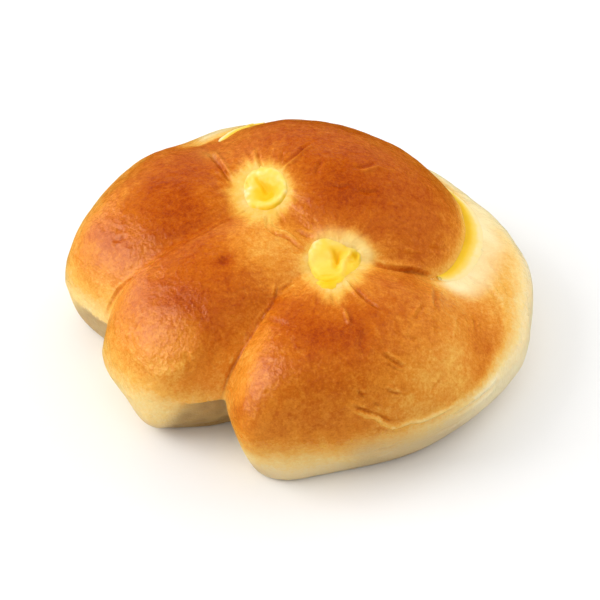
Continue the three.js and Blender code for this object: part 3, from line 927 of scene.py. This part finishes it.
# the low, raw-looking side walls, dullest on the middle finger's, which lies in the right one's shade: their dull
# colour is partly the pale dough's own and partly painted shade
wall_pale_and_painted_shade = (1 - smooth((V0[:, 2] - 1.5) / 8.5))
wall_pale_and_painted_shade *= 1 - 0.5 * smooth((V0[:, 0] + 12) / 10) * (1 - smooth((V0[:, 0] - 8) / 12))
wall_pale_and_painted_shade = np.maximum(wall_pale_and_painted_shade, 1.1 * lee_painted_shade)
# the right finger's low front wall, which gets painted shade through the wall and flank masks
front = smooth((V0[:, 0] - 8) / 9) * (1 - smooth((V0[:, 0] - 36) / 12)) * (V0[:, 1] < 0)
wall_pale_and_painted_shade = np.maximum(wall_pale_and_painted_shade, 0.8 * front * (1 - smooth((V0[:, 2] - 8) / 9)))
wall_pale_and_painted_shade *= 1 - 0.5 * smooth((V0[:, 0] - 38) / 12)
flank_painted_shade = np.maximum(flank_painted_shade, np.maximum(0.45 * lee_painted_shade, 0.22 * front * (1 - smooth((V0[:, 2] - 12) / 8))))
# the blister on the middle finger's tip is painted paler, partly a painted highlight, and darker in a ring round it
bake += 0.07 * moat - 0.07 * blister
# milky dough: the ridge above and beside the front custard, and the rim outside the mouth
D, S = along(V0, RIDGE, 8)
milk = 0.62 * np.exp(-(D / 1.7) ** 2) * (0.40 + 0.60 * smooth((S - 0.2) / 0.5))
milk += 0.25 * spot(V0, (362, 256), 2.4, 2.4, 0)
ob = out_of_mouth(V0)
az = azimuth(V0[:, 0], V0[:, 1], SLAB['x'], SLAB['y'])
reach = smooth((ob - 1.8) / 1.8) * (1 - smooth((ob - 6.0) / 7.5)) * smooth((az + 34) / 8) * (1 - smooth((az - 80) / 30))
pallor = 0.80 * reach * (V0[:, 2] > 14) * (1 + 0.5 * noise3(V0, 5, 71))
X, Y = to_pixel(V0)
brow = table(X, [(183, 149), (200, 146), (210, 141.5), (222, 136.5), (232, 132.5), (245, 128.5), (262, 124)])
pallor += 0.65 * smooth((brow - 2.5 - Y) / 3.5) * smooth((X - 196) / 10) * (az > 88) * (az < 160) * (V0[:, 2] > 24)
note('baked')


def build(name, V, T, attributes):
    """A mesh object in the frame, in metres, with its per-point values."""
    me = bpy.data.meshes.new(name)
    co = (V - ORIGIN) / 1000.0
    me.vertices.add(len(co))
    me.vertices.foreach_set('co', co.ravel())
    me.loops.add(len(T) * 3)
    me.loops.foreach_set('vertex_index', T.ravel().astype(np.int32))
    me.polygons.add(len(T))
    me.polygons.foreach_set('loop_start', np.arange(0, len(T) * 3, 3, dtype=np.int32))
    me.polygons.foreach_set('loop_total', np.full(len(T), 3, dtype=np.int32))
    me.update()
    me.validate()
    me.polygons.foreach_set('use_smooth', np.ones(len(me.polygons), bool))
    for k, v in attributes.items():
        v = np.asarray(v, np.float32)
        if v.ndim == 2:
            me.attributes.new(k, 'FLOAT_VECTOR', 'POINT').data.foreach_set('vector', v.ravel())
        else:
            me.attributes.new(k, 'FLOAT', 'POINT').data.foreach_set('value', v)
    ob = bpy.data.objects.new(name, me)
    bpy.context.collection.objects.link(ob)
    return ob



bun = build('bun_dough_baked', V, T, {'bake': bake, 'tint': tint, 'crease_painted_shade': crease_painted_shade, 'fold_pale_and_painted_highlight': fold_pale_and_painted_highlight, 'lean': lean,
                                      'flow1': FLOW[0], 'flow2': FLOW[1], 'low': 1 - smooth((V0[:, 2] - 4) / 16), 'wall_pale_and_painted_shade': wall_pale_and_painted_shade, 'milk': milk,
                                      'flank_painted_shade': flank_painted_shade, 'pallor': pallor})
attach(bun, 'root')
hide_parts('bun_dough')

# ------------------------------------------------------------------ the custard's mesh
HEAD_LINES = drape([
    # the back custard: a coil round a pit, with a flap across it
    ([(258, 170), (265, 169), (273, 171), (280, 175), (284, 182), (285, 190), (281, 198), (274, 204), (264, 206), (255, 205), (248, 202)], 0.85, 0.52),
    ([(257, 175), (262, 179), (269, 183), (277, 188)], 0.70, 0.50),
    ([(253, 174), (258, 180), (263, 187), (267, 194)], 0.48, -0.50),
    ([(276, 189), (272, 196), (265, 200), (257, 199)], 0.55, -0.35),
    ([(249, 207), (257, 210), (266, 211), (275, 208.5), (282, 203), (287, 194)], 0.50, -0.30),
    ([(246, 182), (250, 188)], 0.40, -0.25),
    ([(245, 194), (250, 196)], 0.40, 0.22),
    # the front custard: a ball with a slit, a flap on its right, a lip below
    ([(322, 238), (315, 243), (311, 252), (311, 262), (315, 271), (320, 276)], 0.75, 0.40),
    ([(354, 249), (350, 254), (346, 259), (343, 267), (341, 274), (336, 279)], 0.72, 0.75),
    ([(331, 247), (335, 255), (336, 263), (335, 272)], 0.70, -0.72),
    ([(342, 251), (339, 258), (337, 266)], 0.48, -0.50),
    ([(312, 271), (318, 279), (326, 282), (334, 281), (341, 276)], 0.50, -0.30),
    ([(316, 281), (322, 286), (329, 289), (336, 285)], 1.00, 0.60),
    ([(353, 251), (351, 257), (348, 262)], 0.36, -0.38),
    ([(352, 247), (358, 249), (360, 255), (357, 262)], 0.50, 0.30),
    ([(348, 266), (352, 262)], 0.45, -0.30),
])
# round dents and bumps: pixel, reach in mm across and up, height
HEAD_DOTS = [((265, 190), 2.3, 2.4, -0.95), ((270, 177), 1.6, 1.2, 0.25), ((248, 190), 1.4, 2.4, 0.15),
             ((322, 259), 3.0, 3.4, 1.10), ((337, 255), 1.0, 1.5, -0.45), ((355, 256), 0.70, 0.95, -0.55),
             ((349, 262), 1.3, 1.6, 0.35)]
HEAD_SPOTS = cast([d[0] for d in HEAD_DOTS])
# where the custard is deeper (or, below 0, paler) in colour: pixel, reach in mm, amount; the entries along the back
# custard's lower rim and in the front custard's small hole deepen it as painted shade
TONES = [((328, 285), 1.9, 1.1), ((267, 192), 2.2, 0.55), ((258, 184), 1.4, 0.35), ((245, 192), 2.0, -0.05), ((321, 256), 2.6, 0.25),
         ((345, 262), 1.8, 0.25), ((355, 256), 0.9, 1.1), ((262, 210), 1.2, 0.9), ((272, 209), 1.2, 0.9), ((280, 205), 1.1, 0.8), ((286, 198), 1.0, 0.6), ((253, 208), 1.0, 0.6), ((334, 240), 1.6, -0.2)]
TONE_SPOTS = cast([d[0] for d in TONES])
near_head = Near(HEAD_LINES)


def custard(P):
    """The filling: a slab between the layers, two columns with their heads, and the bead in the mouth."""
    o = outer(*P.T)
    f = slab_field(P, o)
    f = np.minimum(f, column(P, PLUG_BACK, 37.0, 3.7, 3.7))
    f = np.minimum(f, column(P, PLUG_FRONT, 31.0, 4.6, 5.6))
    out = f
    near = np.where(f < 12)[0]
    q = P[near]
    # the bead stands up in a roll beside the lip, and runs out level into the rim
    by = across_mouth(q)
    g = tube(q, GROOVE, np.where(COVER_R > 0.02, GROOVE_R + 0.10, -0.6)) - 1.5 * smooth(by / 1.0) * (by < 3)
    fs, low = parts(*q.T)
    g = smax(g, np.minimum(low, fs['left']) - table(by, BEAD_LIFT), 0.3)
    out[near] = smin(f[near], g, 0.8)
    for i, depth in ((0, 4.0), (1, 4.5)):
        idx = np.where(np.linalg.norm(P - HOLES[i], axis=1) < 14)[0]
        if len(idx) == 0:
            continue
        q = P[idx]
        t, deep = share(q, i)
        r_mm = 5.4
        # the back custard's left side runs into the dough without an edge
        left = smooth((-q @ RIGHT + HOLES[0] @ RIGHT) / 4.0) if i == 0 else 0.0
        crown = 0.32 - (0.70 - 0.42 * left) * np.clip(t, 0, 1.4) ** 4
        h = smax(o[idx] - crown, (t - 1.12) * r_mm, 0.5)
        h = smax(h, -o[idx] - depth, 0.6)
        out[idx] = smin(out[idx], h, 0.6)
    return out


C, CT = contour(custard, (-44, -36, 11), (52, 56, 47), 1.3)
C = settle(custard, C, 2)
C = relax(C, CT, custard, 2)


def wanted_custard(M):
    o = outer(*M.T)
    s = np.full(len(M), 1.8)
    dm = np.abs(tube(M, MOUTH, np.zeros(len(MOUTH))))
    s = np.where((dm < 6) & (o > -2.5), 0.55, s)
    d = np.minimum(np.linalg.norm(M - HOLES[0], axis=1), np.linalg.norm(M - HOLES[1], axis=1))
    return np.where((d < 10) & (o > -1.6), 0.30, s)


C, CT = refine(C, CT, custard, wanted_custard, 5)
C = relax(C, CT, custard, 2)
note('custard', len(C), len(CT))
CN = normals(C, CT)
o = outer(*C.T)
skin = smooth((o + 1.6) / 0.9)
d_hole = np.minimum(np.linalg.norm(C - HOLES[0], axis=1), np.linalg.norm(C - HOLES[1], axis=1))
HC = carve(C, HEAD_LINES)
for (at, rx, ry, high), spot_at in zip(HEAD_DOTS, HEAD_SPOTS):
    d = C - spot_at
    HC += high * np.exp(-((d @ RIGHT) / rx) ** 2 - ((d @ UP) / ry) ** 2) * (np.abs(d @ FWD) < 7)
HC *= skin * (d_hole < 13)
HB = swell(C) * skin + 0.08 * noise3(C, 3.2, 41) * skin * (d_hole > 9) * smooth(1.2 - across_mouth(C))
C = C + (HC + HB)[:, None] * CN
C[:, 2] = np.maximum(C[:, 2], 0)
deep = np.clip(-HC / 0.9, 0, 1)
pale = 0.45 * np.clip(HC / 0.9, 0, 1)
# the tones include painted shade along the back custard's lower rim and in the front custard's small hole
for (at, reach, amount), spot_at in zip(TONES, TONE_SPOTS):
    deep += amount * np.exp(-(np.linalg.norm(C - spot_at, axis=1) / reach) ** 2)
# and towards their rims the two heads take the dough's paler tone
for i in (0, 1):
    t, d = share(C, i)
    side = (C - HOLES[i]) @ (RIGHT if i == 0 else -UP)
    if i == 0:                                           # mottled where it runs into the dough
        pale += 0.40 * noise3(C, 2.4, 47) * smooth(-side / 2.5) * (d_hole < 12)
    pale += 0.38 * smooth((t - 0.55) / 0.35) * (0.05 + 0.95 * smooth(0.3 - side / 5.0)) * (d_hole < 12) * (0.55 if i == 0 else 1) * (1 + 0.8 * noise3(C, 1.3, 43 + i))
# the bead in the mouth is deepest in colour under the lip and pales outwards
out_by = across_mouth(C)
rear = smooth((azimuth(C[:, 0], C[:, 1], SLAB['x'], SLAB['y']) - 14) / 16)
deep = np.where(d_hole > 14, 0.25 * (1 - smooth((out_by + 0.05) / 0.75)) * (1 - 0.8 * rear), deep)
pale = np.where(d_hole > 14, 0.92 * smooth((out_by - 0.15) / 0.95 + 0.30 * rear), pale)
filling = build('custard_filling_soft', C, CT, {'deep': deep, 'pale': pale})
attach(filling, 'root')
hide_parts('custard_filling')
note('filled')


# ------------------------------------------------------------------ materials
def lin(r, g, b):
    """A colour given as it looks on a screen (0 to 255)."""
    return tuple(((c / 255) / 12.92 if c / 255 <= 0.04045 else ((c / 255 + 0.055) / 1.055) ** 2.4) for c in (r, g, b)) + (1.0,)


class Mat:
    """A small helper that adds and links shader nodes."""

    def __init__(self, name):
        self.m = bpy.data.materials.new(name)
        self.m.use_nodes = True
        self.t = self.m.node_tree
        self.bsdf = self.t.nodes['Principled BSDF']

    def node(self, kind, **inputs):
        n = self.t.nodes.new(kind)
        for k, v in inputs.items():
            self.set(n, k, v)
        return n

    def set(self, n, k, v):
        s = n.inputs[int(k[1:])] if k[0] == '_' and k[1:].isdigit() else n.inputs[k.replace('_', ' ')]
        if hasattr(v, 'is_output'):
            self.t.links.new(v, s)
        else:
            s.default_value = v

    def attr(self, name, vector=False):
        n = self.t.nodes.new('ShaderNodeAttribute')
        n.attribute_type = 'GEOMETRY'
        n.attribute_name = name
        return n.outputs['Vector'] if vector else n.outputs['Fac']

    def math(self, op, a, b=None, clamp=False):
        n = self.t.nodes.new('ShaderNodeMath')
        n.operation = op
        n.use_clamp = clamp
        self.set(n, '_0', a)
        if b is not None:
            self.set(n, '_1', b)
        return n.outputs[0]

    def mix(self, fac, a, b, kind='MIX'):
        n = self.t.nodes.new('ShaderNodeMix')
        n.data_type = 'RGBA'
        n.blend_type = kind
        self.set(n, '_0', fac)
        self.set(n, '_6', a)
        self.set(n, '_7', b)
        return n.outputs[2]

    def noise(self, vector, scale, detail=3.0, rough=0.5, distort=0.0):
        n = self.node('ShaderNodeTexNoise', Scale=scale, Detail=detail, Roughness=rough, Distortion=distort)
        self.t.links.new(vector, n.inputs['Vector'])
        return n.outputs['Fac']

    def about(self, fac, size):
        """Noise centred on zero and scaled."""
        return self.math('MULTIPLY', self.math('SUBTRACT', fac, 0.5), size)

    def ramp(self, fac, stops):
        n = self.t.nodes.new('ShaderNodeValToRGB')
        r = n.color_ramp
        r.interpolation = 'LINEAR'
        while len(r.elements) > 1:
            r.elements.remove(r.elements[-1])
        r.elements[0].position, r.elements[0].color = stops[0][0], stops[0][1]
        for p, c in stops[1:]:
            el = r.elements.new(p)
            el.color = c
        self.t.links.new(fac, n.inputs['Fac'])
        return n.outputs['Color']


crust = Mat('baked_crust')
pos = crust.t.nodes.new('ShaderNodeTexCoord').outputs['Object']
bk = crust.attr('bake')
streak1 = crust.noise(crust.attr('flow1', True), 2.6, 4, 0.6)
streak2 = crust.noise(crust.attr('flow2', True), 2.6, 4, 0.6)
streak = crust.node('ShaderNodeMix', _0=crust.attr('lean'), _2=streak1, _3=streak2).outputs[0]
mottle = crust.noise(pos, 190, 5, 0.62)
cloud = crust.noise(pos, 55, 3, 0.5)
speck = crust.noise(pos, 900, 3, 0.6)
amount = crust.math('MULTIPLY', bk, crust.math('SUBTRACT', 1.35, bk))
grain = crust.math('ADD', crust.about(streak, 0.55), crust.about(mottle, 0.45))
grain = crust.math('ADD', grain, crust.about(cloud, 0.34))
grain = crust.math('ADD', grain, crust.about(speck, 0.70))
grain = crust.math('ADD', grain, crust.about(crust.noise(pos, 2100, 2, 0.6), 0.55))
level = crust.math('ADD', bk, crust.math('MULTIPLY', grain, crust.math('ADD', amount, 0.08)))
# painted shade deepens the crease floors; the folds are lightened, partly as a painted highlight
level = crust.math('ADD', level, crust.math('MULTIPLY', crust.attr('crease_painted_shade'), 0.10))
level = crust.math('SUBTRACT', level, crust.math('MULTIPLY', crust.attr('fold_pale_and_painted_highlight'), 0.17), clamp=True)
RAMP = [(0.0, lin(250, 232, 188)), (0.15, lin(250, 215, 138)), (0.35, lin(243, 180, 80)), (0.55, lin(226, 138, 38)),
        (0.75, lin(201, 102, 12)), (0.90, lin(183, 79, 1)), (1.0, lin(162, 60, 0))]
colour = crust.ramp(level, RAMP)
halo = crust.math('MULTIPLY', crust.attr('tint'), crust.math('ADD', crust.about(mottle, 2.8), 0.80), clamp=True)
colour = crust.mix(halo, colour, lin(236, 187, 73))
colour = crust.mix(crust.math('MULTIPLY', crust.attr('milk'), 0.9, clamp=True), colour, lin(254, 222, 142))
colour = crust.mix(crust.math('MULTIPLY', crust.attr('pallor'), 1.0, clamp=True), colour, lin(254, 234, 180))
# the low sides never see the oven's heat and stay pale; the dull colour they are mixed towards is also painted shade
colour = crust.mix(crust.math('MULTIPLY', crust.attr('wall_pale_and_painted_shade'), 0.62, clamp=True), colour, lin(208, 182, 142))
# painted shade: a dark grey-brown on the middle finger's wall under the overhang, on the left finger's low front side
# and on the right finger's front wall
colour = crust.mix(crust.math('MULTIPLY', crust.attr('flank_painted_shade'), 0.86, clamp=True), colour, lin(172, 138, 88))
crust.set(crust.bsdf, 'Base_Color', colour)
crust.set(crust.bsdf, 'Roughness', crust.math('ADD', crust.math('ADD', crust.math('MULTIPLY', crust.attr('low'), 0.28), 0.23), crust.about(mottle, 0.16), clamp=True))
crust.bsdf.inputs['Specular IOR Level'].default_value = 0.30
crust.bsdf.inputs['Subsurface Weight'].default_value = 0.12
crust.bsdf.inputs['Subsurface Radius'].default_value = (1.0, 0.45, 0.18)
crust.bsdf.inputs['Subsurface Scale'].default_value = 0.0022
b1 = crust.t.nodes.new('ShaderNodeBump')
b1.inputs['Strength'].default_value = 0.7
b1.inputs['Distance'].default_value = 0.00030
pebble = crust.math('ADD', crust.noise(pos, 1150, 3, 0.6), crust.math('MULTIPLY', speck, 0.5))
crust.t.links.new(crust.math('ADD', crust.math('ADD', crust.math('MULTIPLY', streak, 1.5), pebble), crust.math('MULTIPLY', crust.math('ADD', mottle, crust.noise(pos, 480, 2, 0.5)), 1.5)), b1.inputs['Height'])
crust.t.links.new(b1.outputs['Normal'], crust.bsdf.inputs['Normal'])
bun.data.materials.append(crust.m)

cream = Mat('custard_cream')
pos = cream.t.nodes.new('ShaderNodeTexCoord').outputs['Object']
lump = cream.noise(pos, 420, 4, 0.6)
tone = cream.math('ADD', cream.math('SUBTRACT', cream.attr('deep'), cream.attr('pale')), cream.about(lump, 0.5))
tone = cream.math('ADD', cream.math('MULTIPLY', tone, 0.5), 0.45, clamp=True)
colour = cream.ramp(tone, [(0.0, lin(252, 224, 158)), (0.14, lin(249, 213, 108)), (0.45, lin(245, 200, 55)), (0.75, lin(243, 191, 26)), (1.0, lin(239, 183, 14))])
cream.set(cream.bsdf, 'Base_Color', colour)
cream.set(cream.bsdf, 'Roughness', cream.math('ADD', cream.about(lump, 0.2), 0.46))
cream.bsdf.inputs['Specular IOR Level'].default_value = 0.08
cream.bsdf.inputs['Subsurface Weight'].default_value = 0.35
cream.bsdf.inputs['Subsurface Radius'].default_value = (1.0, 0.7, 0.22)
cream.bsdf.inputs['Subsurface Scale'].default_value = 0.0018
b2 = cream.t.nodes.new('ShaderNodeBump')
b2.inputs['Strength'].default_value = 0.4
b2.inputs['Distance'].default_value = 0.00012
cream.t.links.new(lump, b2.inputs['Height'])
cream.t.links.new(b2.outputs['Normal'], cream.bsdf.inputs['Normal'])
filling.data.materials.append(cream.m)

# ------------------------------------------------------------------ stage
cam_data = bpy.data.cameras.new('camera')
cam = bpy.data.objects.new('camera', cam_data)
bpy.context.collection.objects.link(cam)
cam_data.sensor_width = 36.0
cam_data.lens = FOCAL * 36.0 / 600.0
cam_data.clip_start, cam_data.clip_end = 0.01, 20.0
cam.location = tuple((EYE - ORIGIN) / 1000.0)
cam.rotation_euler = (math.radians(90 - ELEV), 0, 0)
bpy.context.scene.camera = cam

me = bpy.data.meshes.new('floor')
me.from_pydata([(-4, -4, 0), (4, -4, 0), (4, 4, 0), (-4, 4, 0)], [], [(0, 1, 2, 3)])
floor = bpy.data.objects.new('floor', me)
bpy.context.collection.objects.link(floor)
floor.location.z = -0.0002
floor.visible_glossy = False
m = bpy.data.materials.new('floor_white')
m.use_nodes = True
b = m.node_tree.nodes['Principled BSDF']
b.inputs['Base Color'].default_value = (0.9, 0.9, 0.9, 1)
b.inputs['Roughness'].default_value = 0.8
me.materials.append(m)


def area(name, at, target, size, power, shine=True, dull=True):
    d = bpy.data.lights.new(name, 'AREA')
    d.shape = 'RECTANGLE'
    d.size, d.size_y = size
    d.energy = power
    o = bpy.data.objects.new(name, d)
    bpy.context.collection.objects.link(o)
    o.location = at
    o.visible_glossy = shine
    o.visible_diffuse = dull
    v = np.array(target, float) - np.array(at, float)
    from mathutils import Vector
    o.rotation_euler = Vector(v).to_track_quat('-Z', 'Y').to_euler()
    return o


area('key', (-0.74, 0.0, 0.54), (0, 0, 0.02), (0.60, 0.66), 5.05, shine=False)
for lamp in (area('glaze', (-0.76, -0.26, 0.46), (0, 0, 0.02), (0.92, 0.92), 17.0, dull=False),
             area('side', (-0.74, 0.48, 0.16), (0, 0, 0.02), (0.45, 0.45), 2.8, dull=False)):
    lamp.data.color = (1.0, 0.86, 0.60)
area('horizon', (0.0, 1.10, 0.22), (0, 0, 0.03), (1.4, 0.35), 0.75, dull=False)
area('over', (0.05, -0.20, 1.00), (0, 0, 0.02), (1.4, 1.4), 3.1, shine=False)
area('rear', (0.80, 0.40, 0.50), (0, 0, 0.02), (0.9, 0.9), 3.8, shine=False)
world = bpy.data.worlds.new('world')
bpy.context.scene.world = world
world.use_nodes = True
wt = world.node_tree
sky = wt.nodes.new('ShaderNodeTexCoord')
tilt = wt.nodes.new('ShaderNodeVectorMath')                # brighter behind the bun than in front of it
tilt.operation = 'DOT_PRODUCT'
tilt.inputs[1].default_value = (0.0, 0.22, -0.05)
wt.links.new(sky.outputs['Generated'], tilt.inputs[0])
level = wt.nodes.new('ShaderNodeMath')
level.operation = 'ADD'
level.inputs[1].default_value = 0.66
wt.links.new(tilt.outputs['Value'], level.inputs[0])
wt.nodes['Background'].inputs['Color'].default_value = (1, 1, 1, 1)
wt.links.new(level.outputs[0], wt.nodes['Background'].inputs['Strength'])
world.cycles_visibility.glossy = False
bpy.context.scene.view_settings.view_transform = 'Standard'

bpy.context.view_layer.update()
note('done')
